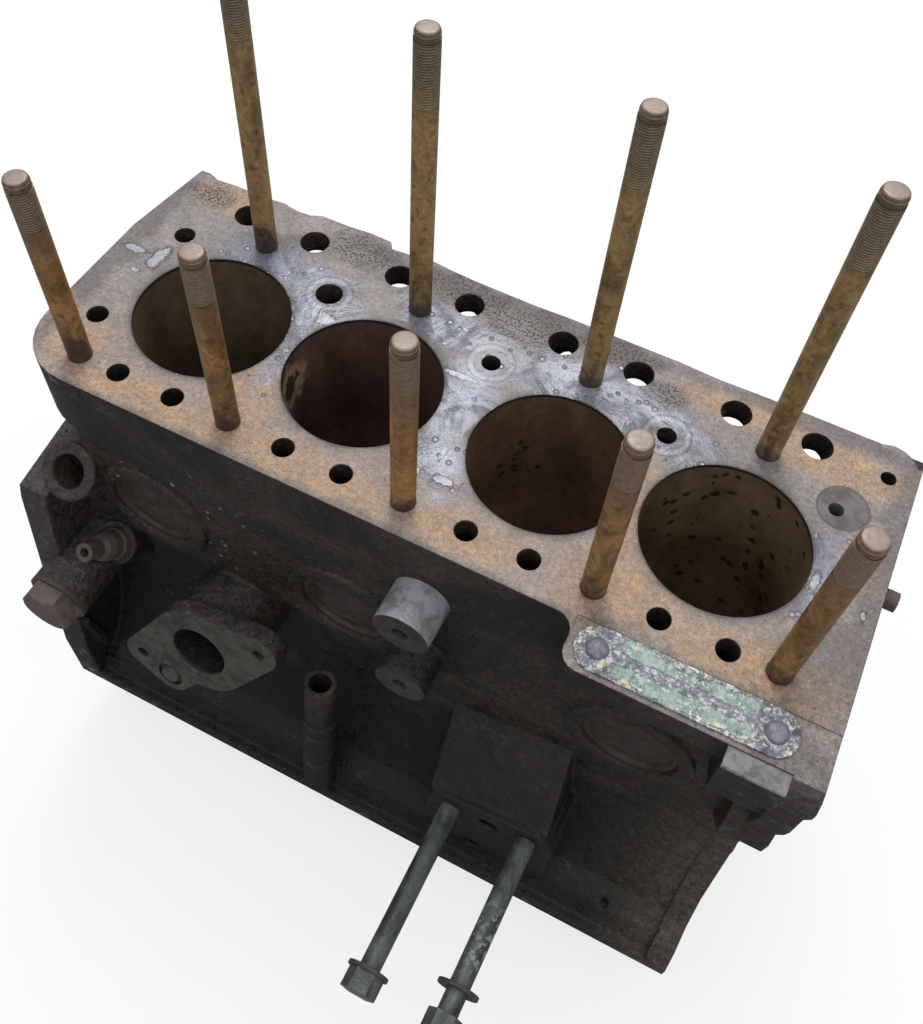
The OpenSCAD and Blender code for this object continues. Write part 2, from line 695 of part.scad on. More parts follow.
// A dished core plug pressed against the ledge of its hole
module core_plug(i) {
    r = core_plug_d / 2;
    t = 2.2;
    dish = 1.4;
    color(plug_rust) translate([core_plugs[i][0], -near_y - core_rim_h + core_depth, core_plugs[i][1]])
        rotate([90, 0, 0]) rotate_extrude() polygon([
            [0, 0], [r, 0], [r, t + 1], [r - 2.4, t + 1], [r - 3.2, t - 0.7],
            [r * 0.5, t + dish * 0.7], [0, t + dish]]);
}
module core_plug_rear() { core_plug(0); }
module core_plug_middle() { core_plug(1); }
module core_plug_front() { core_plug(2); }

// Turned plug flush with the deck, with an oil hole off its centre
module deck_plug() {
    color(grey_steel) translate([deck_plug_at[0], deck_plug_at[1], -deck_plug_h])
        difference() {
            cylinder(d = deck_plug_d, h = deck_plug_h);
            translate([deck_plug_hole[0], deck_plug_hole[1], -1])
                cylinder(d = deck_plug_hole[2], h = deck_plug_h + 2);
        }
}

module number_plate() {
    color(plate_green) translate([plate_at[0], plate_at[1], -pad_drop]) difference() {
        linear_extrude(plate_t)
            round_box(-plate_size / 2, plate_size / 2, plate_size[1] / 2 - 0.5);
        for (s = [-1, 1]) translate([s * plate_screw_gap / 2, 0, -1]) cylinder(d = 3.2, h = 4);
    }
}

// Domed drive screws of the plate
module plate_drive_screws() {
    head_r = 4.2;
    head_h = 2.2;
    color(grey_steel) for (s = [-1, 1])
        translate([plate_at[0] + s * plate_screw_gap / 2, plate_at[1], -pad_drop]) {
            translate([0, 0, plate_t]) rotate_extrude()
                polygon(concat([[0, 0], [head_r, 0]], [for (a = [15:15:90])
                    [head_r * cos(a), head_h * sin(a)]]));
            cylinder(d = 3, h = plate_t);
        }
}

// Hexagonal cap of the relief valve, with its threaded shank
module relief_valve_cap() {
    hex_r = relief_af / 2 / cos(30);
    color(plug_rust) out_near(relief_at) translate([0, 0, relief_washer_t]) {
        intersection() {
            cylinder(r = hex_r, h = relief_hex_h, $fn = 6);
            rotate_extrude() polygon([
                [0, 0], [hex_r, 0], [hex_r, relief_hex_h - 2],
                [relief_af / 2 - 1, relief_hex_h], [0, relief_hex_h]]);
        }
        translate([0, 0, -relief_shank]) cylinder(d = relief_bore_d - 2 * fit, h = relief_shank);
    }
}

module relief_valve_washer() {
    color(rusty_steel) out_near(relief_at) difference() {
        cylinder(r = relief_boss_r, h = relief_washer_t);
        translate([0, 0, -1]) cylinder(d = relief_bore_d + 2 * fit, h = relief_washer_t + 2);
    }
}

// Cup-shaped plunger of the relief valve on its seat
module relief_valve_plunger() {
    r = relief_bore_d / 2 - fit;
    h = 17;
    color(grey_steel) out_near(relief_at) translate([0, 0, -relief_bore_depth])
        rotate_extrude() polygon([[0, 0], [r - 3, 0], [r, 3], [r, h], [r - 2, h], [r - 2, 6], [0, 6]]);
}

// Drain tap: threaded end, collar, tapered body and nozzle
module drain_tap() {
    color(rusty_steel) out_near(tap_at, port_tilt) difference() {
        rotate_extrude() polygon([
            [0, -tap_in], [tap_root_r, -tap_in], [tap_root_r, 0], [tap_collar_r, 0],
            [tap_collar_r, 2.6], [7, 3.6], [7.2, 9], [6.2, 13], [4.6, 15],
            [4.3, tap_len], [0, tap_len]]);
        translate([0, 0, tap_len - 9]) cylinder(d = 4.4, h = 10);
    }
}

module distributor_seat_plug() {
    color(rusty_steel) out_near(seat_at, seat_tilt)
        translate([seat_plug_at[0], seat_plug_at[1], -6]) rotate_extrude() polygon([
            [0, 0], [seat_plug_d / 2, 0], [seat_plug_d / 2, 4.4], [seat_plug_d / 2 - 1.6, 4.4],
            [seat_plug_d / 2 - 2.4, 6.8], [0, 6.8]]);
}

// Screwed plugs in the two ends of the oil gallery
module oil_gallery_plugs() {
    color(grey_steel) for (s = [-1, 1]) {
        x0 = s > 0 ? half - gallery_plug_h : -half + 0.5;
        along_x(x0, x0 + gallery_plug_h - 0.5) translate([gallery_y, gallery_z]) difference() {
            circle(d = gallery_plug_d);
            circle(d = 6, $fn = 6);
        }
    }
}

// Long bolts left in the oil filter pad
module filter_bolts() {
    color(bolt_green) for (b = filter_bolts_at)
        translate([b[0], filter_pad_y, b[1]]) rotate([90, 0, 0]) {
            translate([0, 0, -filter_bolt_in])
                cylinder(d = filter_bolt_d, h = filter_bolt_len + filter_bolt_in);
            translate([0, 0, filter_bolt_len])
                cylinder(r = filter_bolt_af / 2 / cos(30), h = filter_head_h, $fn = 6);
        }
}

// Washers hanging on the bolts, one by its head and one a little way down
module filter_bolt_washers() {
    gap = 10;
    at = [filter_bolt_len - filter_washer[1], filter_bolt_len - filter_washer[1] - gap];
    color(rusty_steel) for (i = [0, 1])
        translate([filter_bolts_at[i][0], filter_pad_y, filter_bolts_at[i][1] - slide_fit])
            rotate([90, 0, 0]) translate([0, 0, at[i]]) difference() {
                cylinder(d = filter_washer[0], h = filter_washer[1]);
                translate([0, 0, -1]) cylinder(
                    d = filter_bolt_d + 2 * slide_fit + 0.1, h = filter_washer[1] + 2);
            }
}

// Broken stud in one water pump hole
module water_pump_stud() {
    color(rusty_steel) along_x(half - end_hole_depth + 1, half + pump_stud_out)
        translate([pump_holes[2][0], pump_holes[2][1]]) circle(d = pump_stud_d);
}

// Main bearing cap seen along the crankshaft: a shouldered arch over the journal
module main_cap(i) {
    color(iron) difference() {
        along_x(cap_x[i] - cap_t[i] / 2, cap_x[i] + cap_t[i] / 2) translate([0, main_z])
            difference() {
                polygon([
                    [-cap_half_w, 0], [cap_half_w, 0], [cap_half_w, -cap_shoulder],
                    [cap_bolt_gap / 2 - cap_step, -cap_shoulder], [cap_flat_half, -cap_depth],
                    [-cap_flat_half, -cap_depth], [cap_step - cap_bolt_gap / 2, -cap_shoulder],
                    [-cap_half_w, -cap_shoulder]]);
                circle(d = main_d);
            }
        for (s = [-1, 1])
            translate([cap_x[i], s * cap_bolt_gap / 2, main_z - cap_shoulder - 1])
                cylinder(d = cap_bolt_d + 2 * fit, h = cap_shoulder + 2);
    }
}
module main_cap_front() { main_cap(0); }
module main_cap_centre() { main_cap(1); }
module main_cap_rear() { main_cap(2); }

module main_cap_bolts() {
    color(grey_steel) for (x = cap_x) for (s = [-1, 1])
        translate([x, s * cap_bolt_gap / 2, main_z - cap_shoulder - lock_t]) {
            cylinder(d = cap_bolt_d, h = cap_shoulder + lock_t + cap_bolt_depth);
            translate([0, 0, -cap_head_h])
                cylinder(r = cap_head_af / 2 / cos(30), h = cap_head_h, $fn = 6);
        }
}

module main_cap_lock_washers() {
    color(grey_steel) for (x = cap_x) for (s = [-1, 1])
        translate([x, s * cap_bolt_gap / 2, main_z - cap_shoulder - lock_t]) difference() {
            cylinder(d = cap_head_af + 2.4, h = lock_t);
            translate([0, 0, -1]) cylinder(d = cap_bolt_d + 2 * fit, h = lock_t + 2);
        }
}

// White-metal liner of a camshaft bearing
module cam_bearing(i) {
    color(white_metal) along_x(cam_x0[i], cam_x1[i]) translate([cam_out, cam_z])
        difference() {
            circle(d = cam_journal_d[i] + 2 * liner_t);
            circle(d = cam_journal_d[i]);
        }
}
module cam_bearing_front() { cam_bearing(0); }
module cam_bearing_centre() { cam_bearing(1); }
module cam_bearing_rear() { cam_bearing(2); }

engine_block();
long_head_studs();
short_head_studs();
core_plug_rear();
core_plug_middle();
core_plug_front();
deck_plug();
number_plate();
plate_drive_screws();
relief_valve_cap();
relief_valve_washer();
relief_valve_plunger();
drain_tap();
distributor_seat_plug();
oil_gallery_plugs();
filter_bolts();
filter_bolt_washers();
water_pump_stud();
main_cap_front();
main_cap_centre();
main_cap_rear();
main_cap_bolts();
main_cap_lock_washers();
cam_bearing_front();
cam_bearing_centre();
cam_bearing_rear();
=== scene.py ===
"""The look of the engine block: camera, light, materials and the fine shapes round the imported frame."""
import math

import bmesh
import bpy
from mathutils import Matrix, Vector


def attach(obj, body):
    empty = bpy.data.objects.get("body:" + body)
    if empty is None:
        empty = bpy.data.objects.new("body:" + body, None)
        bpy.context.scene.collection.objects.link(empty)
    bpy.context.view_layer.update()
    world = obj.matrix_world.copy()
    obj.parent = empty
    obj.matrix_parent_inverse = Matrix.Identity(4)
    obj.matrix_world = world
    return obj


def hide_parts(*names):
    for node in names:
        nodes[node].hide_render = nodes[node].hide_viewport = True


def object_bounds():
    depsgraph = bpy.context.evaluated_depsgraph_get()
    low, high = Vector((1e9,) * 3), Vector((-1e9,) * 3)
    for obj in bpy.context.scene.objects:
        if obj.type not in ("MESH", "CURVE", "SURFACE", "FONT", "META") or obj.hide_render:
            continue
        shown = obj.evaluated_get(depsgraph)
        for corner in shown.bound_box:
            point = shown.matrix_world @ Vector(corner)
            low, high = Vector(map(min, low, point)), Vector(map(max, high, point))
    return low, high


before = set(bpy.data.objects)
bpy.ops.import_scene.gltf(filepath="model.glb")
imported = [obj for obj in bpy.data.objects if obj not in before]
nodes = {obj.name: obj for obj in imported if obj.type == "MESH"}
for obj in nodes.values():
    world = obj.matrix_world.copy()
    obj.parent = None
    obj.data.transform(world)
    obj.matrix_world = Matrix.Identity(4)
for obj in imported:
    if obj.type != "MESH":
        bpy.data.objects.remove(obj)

cad_low, cad_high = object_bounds()
MM = 0.001
scene = bpy.context.scene


# Node graphs

BEVEL_SAMPLES = 4
FILM_IOR = 1.4
# Most of a noise lies between these two
NOISE_LOW, NOISE_HIGH = 0.3, 0.7
# Cosine between the flat and the rounded normal, where an edge starts and where it is full
EDGE_START, EDGE_FULL = 0.985, 0.88


def shade(colour, share):
    """A colour times a share, at most white."""
    return tuple(min(1, share * c) for c in colour)


def set_range(node, *ends):
    """Sets From Min, From Max, To Min and To Max of a Map Range node."""
    for i, end in enumerate(ends, start=1):
        node.inputs[i].default_value = end


class Look:
    """One procedural material, built socket by socket in object coordinates (metres)."""

    def __init__(self, name, rough=0.5, metal=0.0, specular=0.5):
        self.mat = bpy.data.materials.new(name)
        self.mat.use_nodes = True
        tree = self.mat.node_tree
        self.nodes, self.links = tree.nodes, tree.links
        self.bsdf = self.nodes["Principled BSDF"]
        self.bsdf.inputs["Roughness"].default_value = rough
        self.bsdf.inputs["Metallic"].default_value = metal
        self.bsdf.inputs["Specular IOR Level"].default_value = specular
        self.pos = self.nodes.new("ShaderNodeTexCoord").outputs["Object"]

    def put(self, socket, value):
        """Links a socket, or sets it where the value is a number or a colour."""
        if isinstance(value, bpy.types.NodeSocket):
            self.links.new(value, socket)
        elif hasattr(value, "__len__") and len(value) == 3 and socket.type == "RGBA":
            socket.default_value = (*value, 1)
        else:
            socket.default_value = value

    def math(self, op, a, b=0.0, clamp=False):
        node = self.nodes.new("ShaderNodeMath")
        node.operation, node.use_clamp = op, clamp
        self.put(node.inputs[0], a)
        self.put(node.inputs[1], b)
        return node.outputs[0]

    def times(self, a, b):
        return self.math("MULTIPLY", a, b)

    def plus(self, a, b):
        return self.math("ADD", a, b)

    def minus(self, a, b):
        return self.math("SUBTRACT", a, b)

    def stretch(self, scale, offset=(0, 0, 0)):
        node = self.nodes.new("ShaderNodeMapping")
        node.inputs["Scale"].default_value = scale
        node.inputs["Location"].default_value = offset
        self.links.new(self.pos, node.inputs["Vector"])
        return node.outputs[0]

    def noise(self, scale, detail=4.0, rough=0.55, warp=0.0, at=None):
        node = self.nodes.new("ShaderNodeTexNoise")
        node.inputs["Scale"].default_value = scale
        node.inputs["Detail"].default_value = detail
        node.inputs["Roughness"].default_value = rough
        node.inputs["Distortion"].default_value = warp
        self.links.new(at or self.pos, node.inputs["Vector"])
        return node.outputs[0]

    def cells(self, scale, at=None):
        """Distance to the nearest of scattered points, and a random value for each point."""
        node = self.nodes.new("ShaderNodeTexVoronoi")
        node.inputs["Scale"].default_value = scale
        self.links.new(at or self.pos, node.inputs["Vector"])
        return node.outputs["Distance"], node.outputs["Color"]

    def ovals(self, spots):
        """Distance to the nearest of some ovals seen from above, 1 on the rim of each.
        An oval is its X, its Y and its two half widths in mm."""
        nearest = None
        for x, y, rx, ry in spots:
            node = self.nodes.new("ShaderNodeMapping")
            node.inputs["Scale"].default_value = (1000 / rx, 1000 / ry, 0)
            node.inputs["Location"].default_value = (-x / rx, -y / ry, 0)
            self.links.new(self.pos, node.inputs["Vector"])
            size = self.nodes.new("ShaderNodeVectorMath")
            size.operation = "LENGTH"
            self.links.new(node.outputs[0], size.inputs[0])
            away = size.outputs["Value"]
            nearest = away if nearest is None else self.math("MINIMUM", nearest, away)
        return nearest

    def step(self, value, low, high, out_low=0.0, out_high=1.0):
        """Smooth step of value from low to high."""
        node = self.nodes.new("ShaderNodeMapRange")
        node.interpolation_type = "SMOOTHSTEP"
        set_range(node, low, high, out_low, out_high)
        self.put(node.inputs[0], value)
        return node.outputs[0]

    def spread(self, value, low, high):
        """A noise value spread over the range from low to high."""
        return self.step(value, NOISE_LOW, NOISE_HIGH, low, high)

    def mix(self, share, a, b, how="MIX"):
        node = self.nodes.new("ShaderNodeMix")
        node.data_type, node.blend_type = "RGBA", how
        self.put(node.inputs["Factor"], share)
        self.put(node.inputs[6], a)
        self.put(node.inputs[7], b)
        return node.outputs[2]

    def tint(self, colour, value, low, high):
        """Colour made darker or lighter with a noise value, between two shares of itself."""
        return self.mix(1.0, colour, self.spread(value, low, high), "MULTIPLY")

    def axis(self, name):
        if not hasattr(self, "split"):
            self.split = self.nodes.new("ShaderNodeSeparateXYZ")
            self.links.new(self.pos, self.split.inputs[0])
        return self.split.outputs[name]

    def away(self, point):
        """Distance from a point in millimetres."""
        node = self.nodes.new("ShaderNodeVectorMath")
        node.operation = "DISTANCE"
        self.links.new(self.pos, node.inputs[0])
        node.inputs[1].default_value = [c * MM for c in point]
        return self.times(node.outputs["Value"], 1 / MM)

    def round_edges(self, radius):
        node = self.nodes.new("ShaderNodeBevel")
        node.samples = BEVEL_SAMPLES
        node.inputs["Radius"].default_value = radius * MM
        self.normal = node.outputs[0]

    def edges(self):
        """1 on rounded edges, 0 on flat faces; needs round_edges first."""
        geometry = self.nodes.new("ShaderNodeNewGeometry")
        dot = self.nodes.new("ShaderNodeVectorMath")
        dot.operation = "DOT_PRODUCT"
        self.links.new(self.normal, dot.inputs[0])
        self.links.new(geometry.outputs["True Normal"], dot.inputs[1])
        return self.step(dot.outputs["Value"], EDGE_START, EDGE_FULL)

    def up(self, low, high):
        """1 where the surface faces up."""
        if not hasattr(self, "facing"):
            self.facing = self.nodes.new("ShaderNodeSeparateXYZ")
            geometry = self.nodes.new("ShaderNodeNewGeometry")
            self.links.new(geometry.outputs["Normal"], self.facing.inputs[0])
        return self.step(self.facing.outputs["Z"], low, high)

    def bump(self, height, distance, strength=1.0):
        """Adds relief of the given height in millimetres."""
        node = self.nodes.new("ShaderNodeBump")
        node.inputs["Strength"].default_value = strength
        node.inputs["Distance"].default_value = distance * MM
        self.put(node.inputs["Height"], height)
        if getattr(self, "normal", None):
            self.links.new(self.normal, node.inputs["Normal"])
        self.normal = node.outputs[0]

    def coat(self, share, rough, height, distance):
        """A clear film of water or oil over the rough surface, with its own gentle relief in millimetres."""
        self.put(self.bsdf.inputs["Coat Weight"], share)
        self.bsdf.inputs["Coat Roughness"].default_value = rough
        self.bsdf.inputs["Coat IOR"].default_value = FILM_IOR
        node = self.nodes.new("ShaderNodeBump")
        node.inputs["Distance"].default_value = distance * MM
        self.put(node.inputs["Height"], height)
        self.links.new(node.outputs[0], self.bsdf.inputs["Coat Normal"])

    def done(self, colour, rough=None, metal=None):
        self.put(self.bsdf.inputs["Base Color"], colour)
        if rough is not None:
            self.put(self.bsdf.inputs["Roughness"], rough)
        if metal is not None:
            self.put(self.bsdf.inputs["Metallic"], metal)
        if getattr(self, "normal", None):
            self.links.new(self.normal, self.bsdf.inputs["Normal"])
        return self.mat


# Water splashed on the oily side by the left core plug: its centre (mm), where it ends and where it is full
SPLASH_AT, SPLASH_END, SPLASH_FULL = (-98, -60, -66), 46, 26


def oily_casting():
    """Rough sides of the casting under old oil, with drops of water."""
    k = Look("casting_oily", specular=0.35)
    k.round_edges(2.6)
    patches = k.noise(13, 6, 0.65, 0.6)
    lumps = k.noise(95, 5, 0.62)
    pebble = k.noise(340, 4, 0.65)
    grain = k.noise(900, 3, 0.6)
    colour = k.mix(k.step(patches, 0.36, 0.64), (0.018, 0.015, 0.012), (0.052, 0.041, 0.033))
    green = k.step(lumps, 0.52, 0.66, 0, 0.6)
    colour = k.mix(green, colour, (0.026, 0.026, 0.020))
    # Paler and browner at the right end, and at the lower left paler and browner as painted light over the
    # shaded recess above the flange
    right = k.times(k.step(k.axis("X"), 0.115, 0.172), k.step(k.axis("Z"), -0.06, -0.16))
    colour = k.mix(k.times(right, 0.7), colour, (0.100, 0.080, 0.058))
    painted_light_left = k.times(k.step(k.axis("X"), -0.115, -0.155), k.step(k.axis("Z"), -0.040, -0.075))
    colour = k.mix(k.times(painted_light_left, 0.6), colour, (0.068, 0.058, 0.052))
    rust = k.times(k.step(k.noise(60, 6, 0.7, 0.5), 0.52, 0.66), k.step(patches, 0.42, 0.58))
    colour = k.mix(k.times(rust, 0.5), colour, (0.095, 0.055, 0.036))
    # Near black towards the oil pan rail, and paler where it faces up: partly dust, partly a painted sheen
    # of the sky
    low = k.step(k.axis("Z"), -0.105, -0.160)
    colour = k.mix(k.times(low, k.step(k.axis("X"), 0.165, 0.10, 0, 0.9)), colour, (0.012, 0.0108, 0.0098))
    top = k.times(k.up(0.3, 0.9), k.step(k.axis("Z"), -0.130, -0.095, 0.02, 0.28))
    colour = k.mix(top, colour, (0.080, 0.074, 0.078))
    colour = k.mix(k.times(k.edges(), 0.22), colour, (0.120, 0.100, 0.085))
    colour = k.tint(colour, pebble, 0.58, 1.42)
    colour = k.tint(colour, grain, 0.7, 1.3)
    away, pick = k.cells(240)
    splashed = k.times(k.step(k.away(SPLASH_AT), SPLASH_END, SPLASH_FULL), k.step(pick, 0.58, 0.62))
    glint = k.times(splashed, k.step(away, 0.30, 0.18))
    colour = k.mix(k.times(glint, 0.7), colour, (0.42, 0.41, 0.42))
    drops = k.times(k.step(away, 0.22, 0.05), k.step(pick, 0.80, 0.82))
    drops = k.times(drops, k.step(k.noise(21, 3), 0.50, 0.58))
    k.bump(lumps, 2.2, 0.8)
    k.bump(pebble, 0.75, 0.8)
    k.bump(grain, 0.14, 0.7)
    k.bump(drops, 0.9, 1.0)
    wet = k.math("MAXIMUM", k.step(lumps, 0.56, 0.62), drops)
    return k.done(colour, k.mix(wet, k.step(pebble, 0.35, 0.68, 0.50, 0.75), (0.17, 0.17, 0.17)))


BORE_XS = [-111.3, -40.7, 40.7, 111.3]
BORE_R = 32.3
# Patches of the deck: X, Y and two half widths in mm
TAN_SPOTS = [(-78, -26, 10, 20), (-112, -49, 34, 7), (-40, -48, 34, 8), (24, -45, 20, 8), (84, -40, 22, 14),
             (128, -45, 26, 10), (76, -12, 7, 28), (158, 10, 9, 13), (100, 60, 26, 8), (-142, 61, 16, 8),
             (156, -44, 10, 9), (-150, -38, 10, 12), (142, 52, 24, 10)]
WET_SPOTS = [(-98, 36, 26, 10), (-76, 28, 19, 18), (-20, 42, 28, 9), (-1, 12, 10, 40), (36, 40, 32, 11),
             (5, -22, 11, 15), (68, 33, 22, 11), (148, -2, 7, 24), (-76, 2, 7, 22)]
GLARE_SPOTS = [(7, -22, 9, 13), (20, 32, 12, 7), (-90, 40, 12, 7), (36, 45, 9, 7), (-4, 12, 7, 22),
               (-78, 20, 8, 8), (76, 40, 14, 5), (146, -3, 4, 9)]
PIT_SPOTS = [(-78, 62, 18, 10), (-20, 61, 28, 9), (4, 58, 18, 12), (42, 63, 18, 6), (-150, 60, 11, 7),
             (68, 52, 8, 6), (92, -60, 6, 7), (-20, -65, 90, 2.5)]
DULL_SPOTS = [(168, 0, 7, 75), (150, -66, 28, 12), (94, -58, 16, 9), (114, -55, 30, 3), (-30, -57, 140, 3.2),
              (124, -76, 55, 4), (158, -30, 9, 18), (-166, 20, 6, 60), (120, 67, 60, 4), (-110, 44, 12, 8),
              (0, 66, 80, 5), (150, -34, 8, 12)]
PUDDLES = [(-149.3, 17, 3.0, 5.6), (-161, 16.5, 4.6, 1.8), (-70.2, 20.6, 3.6, 2.9), (-8.5, 21.2, 6.4, 1.5),
           (-154, 6, 2.0, 1.1), (146, -2, 1.8, 4.2), (165.3, -7.5, 1.4, 2.6), (9, -27, 4.0, 1.6),
           (3, -17, 1.2, 3.4), (-2, -28, 1.4, 1.6), (34, 42, 1.4, 0.9), (-21, 33, 1.3, 0.7),
           (-17, 44, 1.4, 0.7)]
# Water holes with a ring of stain round them, in mm
HOLE_RINGS = [(-76, 33.8), (0, 33), (76, 33.2), (147, 33.5)]


def ground_deck():
    """Ground deck: grey iron with rust stains, a film of standing water and pits."""
    k = Look("deck_ground", specular=0.5)
    k.round_edges(0.8)
    clouds = k.noise(24, 6, 0.65, 0.5)
    blotch = k.noise(110, 6, 0.74, 0.4)
    fine = k.noise(480, 5, 0.75)
    grain = k.noise(1300, 3, 0.7)
    specks = k.noise(850, 2, 0.5)
    sway = k.plus(k.times(clouds, 2.6), k.times(blotch, 1.6))

    def patch(spots):
        """1 inside some ovals, with a ragged edge."""
        return k.step(k.plus(k.ovals(spots), sway), 3.7, 2.6)

    colour = k.mix(k.step(clouds, 0.34, 0.66), (0.190, 0.172, 0.168), (0.280, 0.238, 0.218))
    near = k.times(k.step(k.axis("Y"), 0.005, -0.040), k.step(k.axis("Y"), -0.074, -0.054))
    colour = k.mix(k.times(near, 0.75), colour, (0.325, 0.250, 0.205))
    tan = patch(TAN_SPOTS)
    colour = k.mix(k.times(tan, k.step(fine, 0.20, 0.50, 0.3, 1)), colour, (0.375, 0.250, 0.165))
    ochre = k.times(k.step(blotch, 0.44, 0.66), k.times(tan, 0.75))
    colour = k.mix(ochre, colour, (0.41, 0.245, 0.130))
    colour = k.mix(k.times(patch(DULL_SPOTS), 0.65), colour, (0.125, 0.108, 0.105))
    # Film of water, and the sky in it
    wet = patch(WET_SPOTS)
    ripple = k.noise(48, 5, 0.6, 1.0)
    film = k.times(wet, k.step(ripple, 0.38, 0.50))
    colour = k.mix(k.times(wet, 0.8), colour, k.mix(film, (0.138, 0.148, 0.190), (0.180, 0.195, 0.262)))
    glare = k.times(patch(GLARE_SPOTS), k.step(ripple, 0.44, 0.58, 0, 0.6))
    colour = k.mix(glare, colour, (0.33, 0.365, 0.465))
    colour = k.tint(colour, blotch, 0.82, 1.16)
    colour = k.tint(colour, fine, 0.66, 1.30)
    colour = k.tint(colour, grain, 0.78, 1.22)
    # Rings of stain, pale inside and dark outside, and the dirty rims of the bores
    for x, y in HOLE_RINGS:
        far = k.plus(k.away((x, y, 0)), k.times(blotch, 1.8))
        pale = k.times(k.step(far, 8.4, 8.9), k.step(far, 10.2, 9.6, 0, 0.28))
        colour = k.mix(pale, colour, (0.38, 0.38, 0.41))
        dark = k.times(k.step(far, 10.2, 10.6), k.step(far, 11.8, 10.9, 0, 0.6))
        colour = k.mix(dark, colour, (0.060, 0.056, 0.056))
        colour = k.mix(k.step(far, 8.6, 7.8, 0, 0.6), colour, (0.085, 0.070, 0.066))
    for x in BORE_XS:
        far = k.plus(k.away((x, 0, 0)), k.times(blotch, 3.0))
        colour = k.mix(k.step(far, 38.5, 34.3, 0, 0.45), colour, (0.085, 0.080, 0.085))
        colour = k.mix(k.step(far, 35.0, 34.2, 0, 0.6), colour, (0.045, 0.042, 0.044))
    # Pits, black specks and bright ones
    peppered = patch(PIT_SPOTS)
    colour = k.mix(k.times(peppered, 0.35), colour, (0.090, 0.068, 0.062))
    colour = k.mix(k.times(k.step(specks, 0.485, 0.445), peppered), colour, (0.026, 0.019, 0.018))
    colour = k.mix(k.step(specks, 0.655, 0.69, 0, 0.75), colour, (0.055, 0.045, 0.041))
    colour = k.mix(k.step(specks, 0.315, 0.285, 0, 0.5), colour, (0.50, 0.48, 0.46))
    # Drops and puddles, each with a dark shore
    away, pick = k.cells(175)
    drops = k.times(k.step(pick, 0.52, 0.54), k.step(wet, 0.02, 0.4))
    shore = k.times(k.times(k.step(away, 0.30, 0.26), k.step(away, 0.17, 0.22)), drops)
    pool = k.plus(k.ovals(PUDDLES), k.plus(k.times(blotch, 3.4), k.times(fine, 1.2)))
    bank = k.times(k.step(pool, 3.65, 3.45), k.step(pool, 3.1, 3.3))
    colour = k.mix(k.times(k.math("MAXIMUM", shore, bank), 0.8), colour, (0.045, 0.044, 0.048))
    glint = k.times(k.step(away, 0.14, 0.08), drops)
    colour = k.mix(k.times(glint, 0.6), colour, (0.60, 0.62, 0.66))
    pool = k.step(pool, 3.3, 3.1)
    colour = k.mix(k.times(pool, k.step(fine, 0.35, 0.55, 0.35, 0.8)), colour, (0.42, 0.43, 0.47))
    water = k.math("MAXIMUM", film, k.math("MAXIMUM", k.times(drops, k.step(away, 0.27, 0.2)), pool))
    swell = k.plus(ripple, k.step(away, 0.27, 0.12, 0, 0.35))
    k.coat(water, 0.06, swell, 1.2)
    relief = k.plus(fine, k.times(grain, 0.3))
    k.bump(k.plus(relief, k.times(specks, 0.8)), 0.30, 0.8)
    return k.done(colour, k.spread(fine, 0.42, 0.64))


def bore_wall(name, light, pitted, scab=None):
    """Rusted cylinder bore, paler downwards, with black pits and a dark rim.
    pitted adds to the share of the wall with pits; scab is the middle of a patch of scale in mm."""
    k = Look(name, specular=0.4)
    streaks = k.noise(30, 5, 0.6, 0.3, k.stretch((1, 1, 0.35)))
    small = k.noise(210, 4, 0.7)
    colour = k.mix(k.step(streaks, 0.33, 0.68), shade(light, 0.5), light)
    colour = k.tint(colour, small, 0.8, 1.2)
    colour = k.tint(colour, k.step(k.axis("Z"), -0.020, -0.130), 0.95, 1.9)
    amount = k.step(k.noise(24, 3, 0.6), 0.58 - pitted, 0.66 - pitted)
    away, pick = k.cells(190, k.stretch((1, 1, 0.9)))
    spots = k.step(k.plus(away, k.times(small, 0.9)), 0.78, 0.70)
    spots = k.times(k.times(spots, k.step(pick, 0.42, 0.46)), amount)
    colour = k.mix(k.times(spots, 0.85), colour, (0.007, 0.006, 0.005))
    if scab:
        far = k.plus(k.away(scab), k.times(small, 22.0))
        colour = k.mix(k.step(far, 26, 20, 0, 0.9), colour, (0.42, 0.29, 0.17))
        colour = k.mix(k.step(far, 18.5, 17, 0, 0.9), colour, (0.020, 0.016, 0.014))
    colour = k.mix(k.step(k.axis("Z"), -0.0022, -0.0012), colour, (0.030, 0.028, 0.028))
    k.bump(spots, -0.35, 0.8)
    k.bump(small, 0.25, 0.5)
    return k.done(colour, k.spread(streaks, 0.34, 0.56))


def turned_iron(name, base, dark, rough=0.42, metal=0.0):
    """Machined cast iron or steel, scratched and dirty."""
    k = Look(name, rough, metal)
    k.round_edges(0.7)
    dirt = k.noise(120, 5, 0.65, 0.4)
    colour = k.mix(k.step(dirt, 0.42, 0.64), base, dark)
    colour = k.mix(k.step(k.noise(700, 3, 0.6), 0.58, 0.7, 0, 0.6), colour, shade(dark, 0.4))
    colour = k.mix(k.times(k.edges(), 0.4), colour, shade(base, 1.5))
    k.bump(dirt, 0.25, 0.6)
    k.bump(k.noise(800, 3, 0.6), 0.08, 0.6)
    return k.done(colour, k.spread(dirt, rough - 0.1, rough + 0.2))


